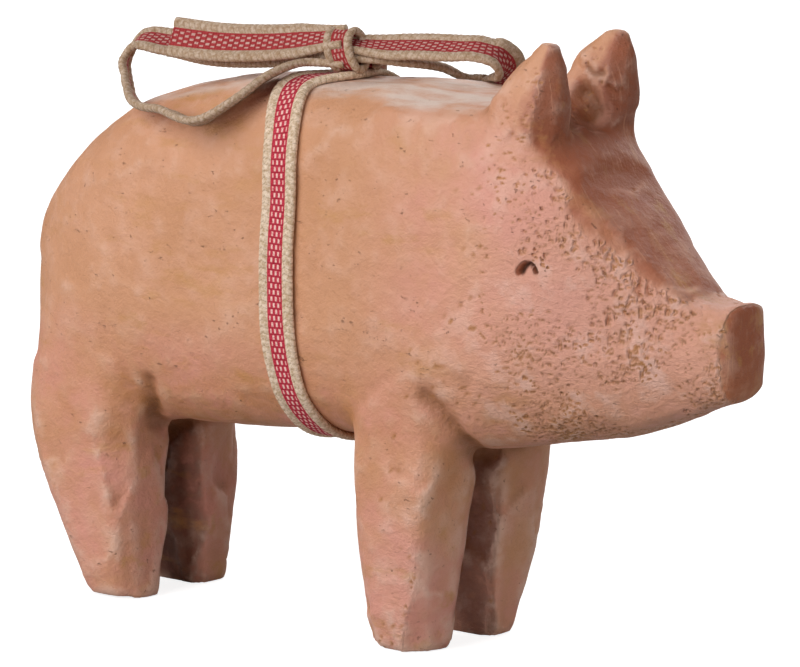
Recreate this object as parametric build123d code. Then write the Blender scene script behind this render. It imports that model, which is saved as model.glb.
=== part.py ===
"""Carved and painted wooden pig with a woven ribbon tied round its belly.

Millimetres. +X points to the snout, +Y to the pig's left, +Z up.
The origin lies on the floor under the middle of the figure.
"""
from build123d import *
import os
from collections import namedtuple
from math import cos, radians, sin

# Trunk and head: sections across X from the rump to the snout
Station = namedtuple("Station", "x belly back half_width widest_at")
TRUNK_STATIONS = [
    Station(-102.5, 56.0, 86.0, 9.5, 70.0),
    Station(-98.5, 49.0, 95.0, 17.4, 68.0),
    Station(-90.5, 45.0, 103.6, 21.8, 69.0),
    Station(-78.0, 43.0, 113.5, 24.4, 73.0),
    Station(-58.0, 42.7, 121.2, 25.3, 77.0),
    Station(-38.0, 43.8, 125.2, 25.6, 80.0),
    Station(-16.0, 45.8, 128.0, 25.6, 82.0),
    Station(7.0, 46.8, 130.6, 26.0, 84.0),
    Station(27.0, 47.0, 131.4, 25.8, 86.0),
    Station(44.0, 49.0, 129.0, 24.3, 87.0),
    Station(57.0, 51.8, 122.6, 21.5, 86.0),
    Station(69.0, 54.4, 111.4, 18.0, 82.0),
    Station(80.0, 57.8, 100.4, 14.0, 78.0),
    Station(90.0, 62.2, 91.2, 10.7, 76.5),
    Station(102.5, 65.6, 91.0, 8.8, 78.0),
]
SHOULDER_WIDTH = 0.67
SHOULDER_DROP = 0.07
BELLY_WIDTH = 0.62
BELLY_RISE = 0.10
FLANK_WIDTH = 0.92
FLANK_DROP = 0.42

# Legs and ears: eight-sided carved sections, given for the right side, where Y is negative
Carved = namedtuple("Carved", "z rear front outer inner chamfer inner_chamfer")
LEG_JOINT_HEIGHT = 38.0
HAUNCH_RISE = 10.0
FRONT_LEG = [
    Carved(0.0, 5.0, 22.8, -19.8, -6.0, 5.0, 2.0),
    Carved(26.0, 4.0, 26.5, -23.0, -4.0, 3.5, 2.0),
    Carved(LEG_JOINT_HEIGHT, 4.4, 28.5, -24.0, -3.2, 3.0, 2.0),
    Carved(70.0, 4.0, 32.0, -24.6, -3.0, 6.0, 4.0),
]
HIND_LEG = [
    Carved(0.0, -84.5, -67.5, -19.8, -6.0, 5.0, 2.0),
    Carved(24.0, -94.5, -67.4, -22.8, -4.0, 4.5, 2.5),
    Carved(LEG_JOINT_HEIGHT, -99.5, -67.2, -23.6, -3.5, 5.5, 2.5),
    Carved(LEG_JOINT_HEIGHT + HAUNCH_RISE, -101.3, -66.0, -24.0, -3.5, 6.5, 3.0),
    Carved(74.0, -97.0, -62.0, -23.0, -3.0, 7.0, 4.0),
]
# The ears are given from their place on the head: heights from the seat, lengths from its middle
EAR_X = 48.5
EAR_SEAT_DEPTH = 8.0
EAR = [
    Carved(-15.0, -8.5, 7.5, -17.5, -4.0, 4.5, 4.5),
    Carved(0.0, -9.5, 9.5, -18.5, -4.5, 4.5, 4.5),
    Carved(11.0, -8.5, 11.3, -18.5, -5.5, 4.0, 4.0),
    Carved(19.5, -3.5, 11.4, -16.8, -7.2, 3.5, 3.5),
    Carved(25.4, 4.5, 9.8, -13.9, -10.3, 1.4, 1.4),
]

# Edge of a block or a sheet that reaches past the whole figure
BEYOND = 1000.0

# Eyes: a small nick cut into each side of the head
EYE_X = 57.0
EYE_HEIGHT = 94.5
EYE_RADIUS = 2.2
EYE_DEPTH = 1.6
EYE_TIP_RADIUS = 0.2

# Dowels that hold the legs and the ears, with the room round them for glue
LEG_DOWEL_DIAMETER = 8.0
LEG_DOWEL_LENGTH = 24.0
EAR_DOWEL_DIAMETER = 5.0
EAR_DOWEL_LENGTH = 16.0
DOWEL_CLEARANCE = 0.1
DOWEL_END_ROOM = 0.5

# Ribbon
RIBBON_WIDTH = 10.0
RIBBON_THICKNESS = 1.4
RIBBON_CLEARANCE = 0.3
BAND_X = -14.0
BAND_POINTS = 36
KNOT_LENGTH = 7.0
KNOT_BREADTH = 8.0
KNOT_HEIGHT = 10.4
KNOT_ROUNDING = 2.6
KNOT_SIDE_SHIFT = -2.0
GATHERED_WIDTH = 5.6
GATHER_LENGTH = 12.0
SPANS_PER_BEND = 5

# Lines of the bow from its base on the back, in the order of the ribbon's run.
# Turn and roll point the ribbon's width: turn round Z from +X, roll up from the level, in degrees.
Bend = namedtuple("Bend", "x y z turn roll")
REAR_LOOP = [
    Bend(0.0, -2.0, 5.6, 95, 25),
    Bend(-21.0, -1.5, 2.2, 95, 28),
    Bend(-39.0, -4.0, 1.3, 97, 28),
    Bend(-52.0, -6.5, 1.7, 100, 26),
    Bend(-60.0, -8.5, 0.2, 100, 18),
    Bend(-62.0, -10.5, -4.0, 100, 8),
    Bend(-57.6, -14.6, -6.9, 102, 4),
    Bend(-41.4, -20.4, -8.2, 110, 4),
    Bend(-27.4, -22.7, -8.0, 118, 4),
    Bend(-17.7, -16.1, -3.4, 138, 0),
    Bend(-11.0, -6.5, 0.8, 138, 0),
    Bend(0.0, -2.0, 2.6, 110, 10),
]
FRONT_LOOP = [
    Bend(0.0, -1.5, 6.6, 104, 25),
    Bend(8.0, 2.5, 6.2, 104, 26),
    Bend(18.0, 5.0, 6.8, 104, 26),
    Bend(28.0, 7.0, 7.4, 103, 26),
    Bend(36.0, 9.0, 8.2, 102, 22),
    Bend(40.6, 11.5, 7.2, 101, 12),
    Bend(40.4, 14.5, 5.0, 101, 0),
    Bend(36.5, 17.5, 2.6, 102, -14),
    Bend(30.0, 19.5, 0.4, 102, -22),
    Bend(23.5, 18.2, -0.5, 103, -22),
    Bend(18.0, 12.5, 2.2, 104, -14),
    Bend(10.0, 5.4, 3.7, 104, 0),
    Bend(0.0, -1.0, 4.0, 105, 10),
]
REAR_TAIL = [
    Bend(0.0, -3.0, 8.4, 100, 42),
    Bend(-18.7, -8.5, 5.8, 105, 50),
    Bend(-31.6, -11.5, 5.1, 103, 56),
    Bend(-43.8, -14.0, 5.5, 102, 62),
]
FRONT_TAIL = [
    Bend(1.6, 2.4, 1.1, 215, 0),
    Bend(-5.0, 10.5, 1.2, 210, 0),
    Bend(-11.0, 17.5, -2.2, 202, 0),
    Bend(-15.0, 23.4, -9.4, 192, 0),
    Bend(-16.5, 26.8, -19.0, 186, 0),
]


def trunk_section(station):
    """Closed face across the trunk: a soft oval with full shoulders and flanks."""
    below = station.widest_at - station.belly
    over = station.back - station.widest_at
    side = [
        (BELLY_WIDTH * station.half_width, station.belly + BELLY_RISE * below),
        (FLANK_WIDTH * station.half_width, station.belly + FLANK_DROP * below),
        (station.half_width, station.widest_at),
        (FLANK_WIDTH * station.half_width, station.back - FLANK_DROP * over),
        (SHOULDER_WIDTH * station.half_width, station.back - SHOULDER_DROP * over),
    ]
    far_side = [(-y, z) for y, z in reversed(side)]
    outline = [(0, station.belly), *side, (0, station.back), *far_side]
    return make_face(Spline([Vector(station.x, y, z) for y, z in outline], periodic=True))


def carved_section(cut):
    """Eight-sided face across a leg or an ear: a rectangle with its corners cut off."""
    outline = [
        (cut.rear + cut.chamfer, cut.outer),
        (cut.front - cut.chamfer, cut.outer),
        (cut.front, cut.outer + cut.chamfer),
        (cut.front, cut.inner - cut.inner_chamfer),
        (cut.front - cut.inner_chamfer, cut.inner),
        (cut.rear + cut.inner_chamfer, cut.inner),
        (cut.rear, cut.inner - cut.inner_chamfer),
        (cut.rear, cut.outer + cut.chamfer),
    ]
    return make_face(Polyline([Vector(x, y, cut.z) for x, y in outline], close=True))


def carved_limb(cuts):
    return loft([carved_section(cut) for cut in cuts], ruled=True)


def centre_at(cuts, height):
    """Middle of a limb's section at the joint height."""
    cut = next(cut for cut in cuts if cut.z == height)
    return Vector((cut.rear + cut.front) / 2, (cut.outer + cut.inner) / 2, height)


def placed(cuts, x, height):
    """A limb's sections, moved to where they stand on the body."""
    return [
        cut._replace(z=cut.z + height, rear=cut.rear + x, front=cut.front + x)
        for cut in cuts
    ]


def dowel(centre, diameter, length):
    return Pos(centre) * Cylinder(diameter / 2, length)


def dowel_hole(centre, diameter, length):
    return dowel(centre, diameter + 2 * DOWEL_CLEARANCE, length + 2 * DOWEL_END_ROOM)


def other_side(shape):
    return mirror(shape, Plane.XZ)


def above(height):
    """Everything higher than a level."""
    return Pos(0, 0, height + BEYOND / 2) * Box(BEYOND, BEYOND, BEYOND)


trunk = loft([trunk_section(station) for station in TRUNK_STATIONS])


def back_height(x):
    """Height of the trunk's top, in the middle, at a place along it."""
    upright = Axis((x, 0, 0), (0, 0, 1))
    return max(point.Z for point, _ in trunk.find_intersection_points(upright))


ear_seat_height = back_height(EAR_X) - EAR_SEAT_DEPTH
ear = placed(EAR, EAR_X, ear_seat_height)

# Each limb is split at its joint: the root stays on the trunk, the rest is a piece of its own
JOINTS = [
    ("front_{}_leg", FRONT_LEG, LEG_JOINT_HEIGHT, False, LEG_DOWEL_DIAMETER, LEG_DOWEL_LENGTH),
    ("hind_{}_leg", HIND_LEG, LEG_JOINT_HEIGHT, False, LEG_DOWEL_DIAMETER, LEG_DOWEL_LENGTH),
    ("{}_ear", ear, ear_seat_height, True, EAR_DOWEL_DIAMETER, EAR_DOWEL_LENGTH),
]
pieces = {}
leg_dowels = []
ear_dowels = []
roots = []
holes = []
for name, cuts, height, stands_up, diameter, length in JOINTS:
    limb = carved_limb(cuts)
    root = limb - above(height) if stands_up else limb & above(height)
    free = limb & above(height) if stands_up else limb - above(height)
    centre = centre_at(cuts, height)
    pin = dowel(centre, diameter, length)
    hole = dowel_hole(centre, diameter, length)
    pieces[name.format("right")] = free - hole
    pieces[name.format("left")] = other_side(free - hole)
    (ear_dowels if stands_up else leg_dowels).extend([pin, other_side(pin)])
    roots.extend([root, other_side(root)])
    holes.extend([hole, other_side(hole)])

ears = [pieces["right_ear"], pieces["left_ear"]]
body = trunk + roots - ears - holes


def eye_nick(side):
    """Cone cut into the head, its point at the eye's depth below the skin and its base clear of it."""
    level = Axis((EYE_X, 0, EYE_HEIGHT), (0, side, 0))
    skin = max(point.Y * side for point, _ in trunk.find_intersection_points(level))
    from_tip = (Align.CENTER, Align.CENTER, Align.MIN)
    cone = Cone(EYE_TIP_RADIUS, 2 * EYE_RADIUS, 2 * EYE_DEPTH, align=from_tip)
    tip = Vector(EYE_X, side * (skin - EYE_DEPTH), EYE_HEIGHT)
    return Plane(tip, x_dir=(1, 0, 0), z_dir=(0, side, 0)) * cone


body = body - [eye_nick(-1), eye_nick(1)]
pieces["body_block"] = body
pieces["leg_dowels"] = Compound(children=leg_dowels)
pieces["ear_dowels"] = Compound(children=ear_dowels)


def trunk_outline(x, proud):
    """Closed face across the trunk at x, larger than the trunk's own by the given distance."""
    cut = (trunk & (Plane.YZ.offset(x) * Rectangle(BEYOND, BEYOND))).faces()[0]
    wire = cut.outer_wire()
    points = []
    for step in range(BAND_POINTS):
        share = step / BAND_POINTS
        outward = wire.tangent_at(share).cross(Vector(1, 0, 0)).normalized()
        point = wire.position_at(share)
        if outward.dot(point - cut.center()) < 0:
            outward = outward * -1
        points.append(point + outward * proud)
    return make_face(Spline(points, periodic=True))


band_places = [BAND_X - RIBBON_WIDTH / 2, BAND_X, BAND_X + RIBBON_WIDTH / 2]
band_outside = loft([trunk_outline(x, RIBBON_CLEARANCE + RIBBON_THICKNESS) for x in band_places])
band_inside = loft([trunk_outline(x, RIBBON_CLEARANCE) for x in band_places])
pieces["ribbon_band"] = band_outside - band_inside

# The bow sits on the band at the top of the back
bow_base = Vector(BAND_X, 0, back_height(BAND_X) + 2 * RIBBON_CLEARANCE + RIBBON_THICKNESS)
knot_centre = bow_base + Vector(0, KNOT_SIDE_SHIFT, KNOT_HEIGHT / 2)


def knot_block(grown=0.0):
    block = Box(KNOT_LENGTH + 2 * grown, KNOT_BREADTH + 2 * grown, KNOT_HEIGHT + 2 * grown)
    return Pos(knot_centre) * fillet(block.edges(), KNOT_ROUNDING + grown)


def between(bends, share, field):
    """Value of one field of the bends, in even steps along them."""
    place = share * (len(bends) - 1)
    first = min(int(place), len(bends) - 2)
    start = getattr(bends[first], field)
    return start + (place - first) * (getattr(bends[first + 1], field) - start)


def ribbon_strip(bends):
    """Flat strip along a smooth line through the bends, drawn together where it meets the knot."""
    line = Spline([bow_base + Vector(bend.x, bend.y, bend.z) for bend in bends])
    spans_needed = SPANS_PER_BEND * (len(bends) - 1)
    sections = []
    for step in range(spans_needed + 1):
        share = step / spans_needed
        along = line.tangent_at(share)
        turn = radians(between(bends, share, "turn"))
        roll = radians(between(bends, share, "roll"))
        wide = Vector(cos(turn) * cos(roll), sin(turn) * cos(roll), sin(roll))
        wide = wide - along * wide.dot(along)
        place = line.position_at(share)
        opened = min(1.0, (place - knot_centre).length / GATHER_LENGTH)
        width = GATHERED_WIDTH + opened * (RIBBON_WIDTH - GATHERED_WIDTH)
        plane = Plane(place, x_dir=wide, z_dir=along)
        sections.append(plane * Rectangle(width, RIBBON_THICKNESS))
    spans = [loft(pair, ruled=True) for pair in zip(sections, sections[1:])]
    return spans[0] + spans[1:] - knot_block(RIBBON_CLEARANCE) - trunk


pieces["ribbon_knot"] = knot_block()
pieces["ribbon_rear_loop"] = ribbon_strip(REAR_LOOP)
pieces["ribbon_front_loop"] = ribbon_strip(FRONT_LOOP)
pieces["ribbon_rear_tail"] = ribbon_strip(REAR_TAIL)
pieces["ribbon_front_tail"] = ribbon_strip(FRONT_TAIL)

os.makedirs("parts", exist_ok=True)
for name, shape in pieces.items():
    export_step(shape, f"parts/{name}.step")
    print(name, len(shape.solids()), round(shape.volume, 1), shape.is_valid)
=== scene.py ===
"""Carved and painted wooden pig with a woven ribbon tied round its belly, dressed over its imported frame."""
from collections import namedtuple
from math import cos, pi, radians, sin

import bmesh
import bpy
import numpy as np
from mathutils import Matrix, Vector, noise
from mathutils.bvhtree import BVHTree
from mathutils.kdtree import KDTree


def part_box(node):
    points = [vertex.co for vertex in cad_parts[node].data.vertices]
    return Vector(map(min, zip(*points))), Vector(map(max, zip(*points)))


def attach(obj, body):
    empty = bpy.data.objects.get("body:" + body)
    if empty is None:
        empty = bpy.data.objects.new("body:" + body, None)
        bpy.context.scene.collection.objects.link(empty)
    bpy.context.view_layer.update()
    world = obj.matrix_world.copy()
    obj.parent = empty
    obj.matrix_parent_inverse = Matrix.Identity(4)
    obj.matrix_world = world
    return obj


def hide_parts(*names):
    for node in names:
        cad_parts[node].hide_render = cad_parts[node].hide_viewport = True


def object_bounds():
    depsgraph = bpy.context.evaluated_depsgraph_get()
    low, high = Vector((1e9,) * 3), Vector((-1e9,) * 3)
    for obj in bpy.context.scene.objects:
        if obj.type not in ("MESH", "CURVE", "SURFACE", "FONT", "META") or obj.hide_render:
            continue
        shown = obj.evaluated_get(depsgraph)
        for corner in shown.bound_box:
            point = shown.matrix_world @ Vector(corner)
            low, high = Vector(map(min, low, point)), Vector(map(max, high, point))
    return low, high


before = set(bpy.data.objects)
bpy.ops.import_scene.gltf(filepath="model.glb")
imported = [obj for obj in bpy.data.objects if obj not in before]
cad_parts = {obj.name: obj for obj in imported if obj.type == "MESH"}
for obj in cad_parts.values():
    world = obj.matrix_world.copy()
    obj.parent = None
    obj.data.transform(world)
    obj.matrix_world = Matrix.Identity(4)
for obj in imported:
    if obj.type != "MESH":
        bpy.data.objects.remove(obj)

# Lengths are in millimetres and turned into Blender's metres where meshes are read or written
MM = 0.001
cad_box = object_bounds()
chance = np.random.default_rng(7)

# Camera, matched to the photograph
PHOTO_WIDTH = 800
PHOTO_HEIGHT = 667
CAMERA_AZIMUTH = radians(40.7)
CAMERA_ELEVATION = radians(10.2)
CAMERA_DISTANCE = 1.856
CAMERA_TARGET = Vector((0.0005, 0.0, 0.070))
LENS_MM = 360.0
SENSOR_MM = 36.0

toward_camera = Vector((
    sin(CAMERA_AZIMUTH) * cos(CAMERA_ELEVATION),
    -cos(CAMERA_AZIMUTH) * cos(CAMERA_ELEVATION),
    sin(CAMERA_ELEVATION),
))
camera_right = Vector((cos(CAMERA_AZIMUTH), sin(CAMERA_AZIMUTH), 0.0))
camera_up = toward_camera.cross(camera_right)
camera_place = CAMERA_TARGET + CAMERA_DISTANCE * toward_camera


def sight_line(u, v):
    """Direction from the camera through a pixel of the photograph."""
    pixels_deep = LENS_MM / SENSOR_MM * PHOTO_WIDTH
    across = (u - PHOTO_WIDTH / 2) * camera_right
    upward = (PHOTO_HEIGHT / 2 - v) * camera_up
    return (across + upward - pixels_deep * toward_camera).normalized()


# Meshes as arrays
def vertex_places(mesh):
    """Places of the vertices, in millimetres."""
    flat = np.empty(len(mesh.vertices) * 3)
    mesh.vertices.foreach_get("co", flat)
    return flat.reshape(-1, 3) / MM


def vertex_normals(mesh):
    flat = np.empty(len(mesh.vertices) * 3)
    mesh.vertex_normals.foreach_get("vector", flat)
    return flat.reshape(-1, 3)


def move_vertices(mesh, places):
    mesh.vertices.foreach_set("co", (places * MM).ravel())
    mesh.update()


def mesh_edges(mesh):
    flat = np.empty(len(mesh.edges) * 2, dtype=np.int32)
    mesh.edges.foreach_get("vertices", flat)
    return flat.reshape(-1, 2)


def eased(values, edges, rounds, share=1.0):
    """Values at the vertices, each drawn by its share halfway to its neighbours' mean, so many times over."""
    count = len(values)
    first, second = edges.T
    neighbours = np.bincount(edges.ravel(), minlength=count)[:, None]
    pull = np.broadcast_to(share, count)[:, None] / 2
    columns = values.reshape(count, -1)
    for _ in range(rounds):
        sums = [
            np.bincount(first, column[second], count) + np.bincount(second, column[first], count)
            for column in columns.T
        ]
        columns = columns + pull * (np.stack(sums, axis=1) / neighbours - columns)
    return columns.reshape(values.shape)


def rising(values, low, high):
    """0 up to low, 1 from high on and smooth in between; high may be the lower one."""
    share = np.clip((values - low) / (high - low), 0, 1)
    return share * share * (3 - 2 * share)


def unit(vectors):
    return vectors / np.linalg.norm(vectors, axis=-1, keepdims=True)


def noise_at(places, length):
    """Smooth noise at each place, its waves about so long."""
    return np.array([noise.noise(place) for place in (places / length).tolist()])


def flowing(points, step):
    """Even steps along a smooth line through the points; their further columns flow along with it."""
    points = np.array(points, dtype=float)
    chords = np.linalg.norm(np.diff(points[:, :3], axis=0), axis=1)
    at = np.concatenate([[0], np.cumsum(chords)])
    slope = np.gradient(points, at, axis=0)
    fine = np.linspace(0, at[-1], 40 * len(points))
    k = np.clip(np.searchsorted(at, fine, side="right") - 1, 0, len(at) - 2)
    span = (at[k + 1] - at[k])[:, None]
    t = (fine - at[k])[:, None] / span
    line = (2 * t ** 3 - 3 * t ** 2 + 1) * points[k] + (t ** 3 - 2 * t ** 2 + t) * span * slope[k]
    line += (3 * t ** 2 - 2 * t ** 3) * points[k + 1] + (t ** 3 - t ** 2) * span * slope[k + 1]
    run = np.concatenate([[0], np.cumsum(np.linalg.norm(np.diff(line[:, :3], axis=0), axis=1))])
    even = np.linspace(0, run[-1], round(run[-1] / step) + 1)
    return np.stack([np.interp(even, run, column) for column in line.T], axis=1)


# Shell of the whole figure: the wooden nodes joined under one skin, to be carved and then cut apart again
WOOD_NODES = [
    "body_block",
    "front_right_leg",
    "front_left_leg",
    "hind_right_leg",
    "hind_left_leg",
    "right_ear",
    "left_ear",
]
VOXEL = 1.0 * MM


def joined_skin(nodes):
    """One closed mesh round the given nodes, without the joints and holes inside."""
    gathered = bmesh.new()
    for node in nodes:
        gathered.from_mesh(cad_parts[node].data)
    rough = bpy.data.meshes.new("rough")
    gathered.to_mesh(rough)
    gathered.free()
    carrier = bpy.data.objects.new("rough", rough)
    bpy.context.collection.objects.link(carrier)
    remesh = carrier.modifiers.new("skin", "REMESH")
    remesh.mode = "VOXEL"
    remesh.voxel_size = VOXEL
    seen = carrier.evaluated_get(bpy.context.evaluated_depsgraph_get())
    skin = bpy.data.meshes.new_from_object(seen)
    bpy.data.objects.remove(carrier)
    bpy.data.meshes.remove(rough)

    solid = bmesh.new()
    solid.from_mesh(skin)
    solid.verts.ensure_lookup_table()
    reached = {max(solid.verts, key=lambda vert: vert.co.x)}
    front = list(reached)
    while front:
        vert = front.pop()
        for edge in vert.link_edges:
            neighbour = edge.other_vert(vert)
            if neighbour not in reached:
                reached.add(neighbour)
                front.append(neighbour)
    inside = [vert for vert in solid.verts if vert not in reached]
    bmesh.ops.delete(solid, geom=inside, context="VERTS")
    solid.to_mesh(skin)
    solid.free()
    return skin


LEG_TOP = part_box("front_right_leg")[1].z / MM
EAR_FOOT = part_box("right_ear")[0].z / MM
EAR_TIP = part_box("right_ear")[1].z / MM
SNOUT_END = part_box("body_block")[1].x / MM
EARS_AHEAD = (28, 34)
CRISPEST = 0.9


def on_ears(places):
    x, _, z = places.T
    return rising(z, EAR_FOOT + 1, EAR_FOOT + 5) * rising(x, *EARS_AHEAD)


def crisp(places):
    """How far the planes and edges of the legs and the ears are kept where the skin is eased."""
    return CRISPEST * np.maximum(rising(places[:, 2], LEG_TOP + 10, LEG_TOP), on_ears(places))


# Rounding: rounds of easing all over and at the junctions, and how far out the skin goes again after them
FIRST_ROUNDS = 2
ROUNDING_ROUNDS = 4
JUNCTION_ROUNDS = 70
REGAINED = 0.15
EAR_ROOT_SHARE = 0.4
SNOUT_RIM_SHARE = 0.3
LEG_ROOT_HEIGHT = (92, 80)

# Roots of the legs: their middle along the trunk, and how far from it the easing has ended and is full
LEG_ROOTS = [(18, 34, 26), (-82, 36, 28)]


def junctions(places):
    """How much each place is eased: fully at the legs' roots, less at the ears' and at the snout's rim."""
    x, _, z = places.T
    leg_roots = rising(z, LEG_TOP + 4, LEG_TOP + 12) * rising(z, *LEG_ROOT_HEIGHT)
    leg_roots *= np.maximum.reduce([rising(np.abs(x - middle), far, near) for middle, far, near in LEG_ROOTS])
    ear_roots = rising(z, EAR_FOOT - 6, EAR_FOOT) * rising(z, EAR_FOOT + 8, EAR_FOOT + 3)
    ear_roots *= rising(x, *EARS_AHEAD)
    snout_rim = rising(x, SNOUT_END - 10, SNOUT_END - 5)
    return np.maximum.reduce([leg_roots, EAR_ROOT_SHARE * ear_roots, SNOUT_RIM_SHARE * snout_rim])


# Line of the back, hand-cut: how far it lies above the CAD's, given along the trunk, and where that fades
BACK_RISE = [
    (-90, 0.0), (-62, 1.8), (-42, 2.4), (-26, 1.2), (-18, 0.0),
    (2, 0.0), (12, -1.5), (23, -2.6), (34, -1.2), (42, 0.0),
]
BACK_ABOVE = (106, 117)
BACK_WITHIN = (22, 12)

# Snout pushed ahead by what the easing of its rim took, and the near ear drawn in round its tip
SNOUT_PUSH = 1.0
EAR_TIP_X = 56.0
EAR_TIP_Y = 12.0
EAR_TAPER = 0.26
EAR_TAPER_LENGTH = 15.0


def hand_shaped(places):
    """Places moved to the back, the snout and the near ear that the photograph shows."""
    x, y, z = places.T
    rise = np.interp(x, *np.transpose(BACK_RISE))
    z = z + rise * rising(z, *BACK_ABOVE) * rising(np.abs(y), *BACK_WITHIN)
    x = x + SNOUT_PUSH * rising(x, SNOUT_END - 14, SNOUT_END - 4)
    near_ear = on_ears(np.stack([x, y, z], axis=1)) * rising(z, EAR_TIP - EAR_TAPER_LENGTH, EAR_TIP) * (y < 0)
    narrower = 1 - EAR_TAPER * near_ear
    x = EAR_TIP_X + (x - EAR_TIP_X) * narrower
    y = np.sign(y) * (EAR_TIP_Y + (np.abs(y) - EAR_TIP_Y) * narrower)
    return np.stack([x, y, z], axis=1)


shell = joined_skin(WOOD_NODES)
edges = mesh_edges(shell)
blocked_out = eased(vertex_places(shell), edges, FIRST_ROUNDS)
rounded = eased(blocked_out, edges, ROUNDING_ROUNDS, 1 - crisp(blocked_out))
rounded = eased(rounded, edges, JUNCTION_ROUNDS, junctions(blocked_out))
rounded = hand_shaped(rounded)
move_vertices(shell, rounded)
move_vertices(shell, rounded + REGAINED * vertex_normals(shell))


def made_finer(mesh, wanted):
    """Divides the faces of the mesh whose corners lie where wanted."""
    fine = bmesh.new()
    fine.from_mesh(mesh)
    near = [edge for edge in fine.edges if all(wanted(vert.co) for vert in edge.verts)]
    bmesh.ops.subdivide_edges(fine, edges=near, cuts=1, use_grid_fill=True)
    bmesh.ops.triangulate(fine, faces=[face for face in fine.faces if len(face.verts) > 4])
    fine.to_mesh(mesh)
    fine.free()


def skin_search(mesh):
    points = [vertex.co for vertex in mesh.vertices]
    return BVHTree.FromPolygons(points, [tuple(face.vertices) for face in mesh.polygons])


smooth_skin = skin_search(shell)


def on_skin(u, v):
    """Place on the figure that shows at a pixel of the photograph, in millimetres."""
    place = smooth_skin.ray_cast(camera_place, sight_line(u, v))[0]
    if place is None:
        raise ValueError(f"no part of the figure shows at pixel {u}, {v}")
    return np.array(place) / MM


# Scattered knife strokes: each leaves a facet, long on the legs, broad and faint on the trunk
Stroke = namedtuple("Stroke", "reach flattened")
TRUNK_STROKE = Stroke((26.0, 17.0, 17.0), 0.28)
HEAD_STROKE = Stroke((17.0, 12.0, 12.0), 0.35)
LEG_STROKE = Stroke((9.0, 9.0, 24.0), 0.62)
EAR_STROKE = Stroke((8.0, 8.0, 14.0), 0.30)
HEAD_START = 50.0
EAR_START = 36.0
STROKE_TILT = 0.020
STROKE_DEPTH = 0.10
MOST_FLATTENED = 0.7
CANDIDATES = 6000
CHUNK = 4000

# Cosine of the skin's turn away from its facet, from which the knife takes hold and takes hold fully
STROKE_HOLD = (0.55, 0.85)


def stroke_at(place):
    """The kind of knife stroke that shaped a place on the figure."""
    x, _, z = place
    if z < LEG_TOP + 6:
        return LEG_STROKE
    if z > EAR_FOOT + 6 and x > EAR_START:
        return EAR_STROKE
    return HEAD_STROKE if x > HEAD_START else TRUNK_STROKE


def scattered_strokes(places):
    """Middles, reaches and strengths of knife strokes, spread evenly by chance."""
    middles = np.empty((0, 3))
    reaches = np.empty((0, 3))
    flattened = np.empty(0)
    for place in places[chance.permutation(len(places))[:CANDIDATES]]:
        stroke = stroke_at(place)
        if not len(middles) or np.min(np.linalg.norm((middles - place) / stroke.reach, axis=1)) > 1:
            middles = np.vstack([middles, place])
            reaches = np.vstack([reaches, stroke.reach])
            flattened = np.append(flattened, stroke.flattened)
    return middles, reaches, flattened


def cut_facets(places, normals):
    """Places with the skin round each knife stroke brought near to one plane."""
    middles, reaches, flattened = scattered_strokes(places)
    stroke = np.empty(len(places), dtype=int)
    for start in range(0, len(places), CHUNK):
        apart = (places[start:start + CHUNK, None] - middles[None]) / reaches[None]
        stroke[start:start + CHUNK] = np.argmin(np.einsum("vsk,vsk->vs", apart, apart), axis=1)
    count = len(middles)
    size = np.maximum(np.bincount(stroke, minlength=count), 1)[:, None]

    def mean(values):
        return np.stack([np.bincount(stroke, column, count) for column in values.T], axis=1) / size

    facing = unit(mean(normals) + STROKE_TILT * chance.normal(size=(count, 3)))
    centre = mean(places) - STROKE_DEPTH * chance.normal(size=count)[:, None] * facing
    proud = np.einsum("vk,vk->v", places - centre[stroke], facing[stroke])
    proud = MOST_FLATTENED * np.tanh(flattened[stroke] * proud / MOST_FLATTENED)
    proud *= rising(np.einsum("vk,vk->v", normals, facing[stroke]), *STROKE_HOLD)
    return places - proud[:, None] * facing[stroke]


MIRROR = np.array([1.0, -1.0, 1.0])

# Forehead: one flat between the ears and the snout, set by two places in the photograph
FOREHEAD_PIXELS = [(608, 205), (676, 270)]
FOREHEAD_DEPTH = 1.0
FOREHEAD_EDGE = (23.0, 19.0)


def cut_forehead(places):
    """Places after the flat has taken off what stands out of its plane."""
    upper, lower = [on_skin(*pixel) for pixel in FOREHEAD_PIXELS]
    middle = (upper + lower) / 2 * (1, 0, 1)
    facing = unit(np.cross([0.0, 1.0, 0.0], lower - upper))
    facing = facing * np.sign(facing[2])
    proud = np.clip((places - upper) @ facing + FOREHEAD_DEPTH, 0, None)
    near = rising(np.linalg.norm(places - middle, axis=1), *FOREHEAD_EDGE)
    return places - (near * proud)[:, None] * facing


# Hand-worked skin: slight waves left between the strokes, given as their length and height
WAVES = [(9.0, 0.20), (3.6, 0.10)]


def hand_worked(places, normals):
    for length, height in WAVES:
        places = places + (height * noise_at(places, length))[:, None] * normals
    return places


# Creases: grooves along lines of pixels in the photograph, with their depth and half width
CREASES = {
    "neck and front leg": ([(425, 398), (443, 416), (463, 438), (484, 458)], 1.6, 2.4),
    "haunch and belly": ([(148, 382), (152, 400), (158, 420), (172, 432)], 1.5, 2.2),
    "foot of the far ear": ([(583, 92), (589, 99), (596, 112)], 2.6, 2.6),
    "cut in the far ear": ([(588, 68), (594, 74), (602, 73)], 0.8, 1.0),
}
CREASE_STEP = 0.5


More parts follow.
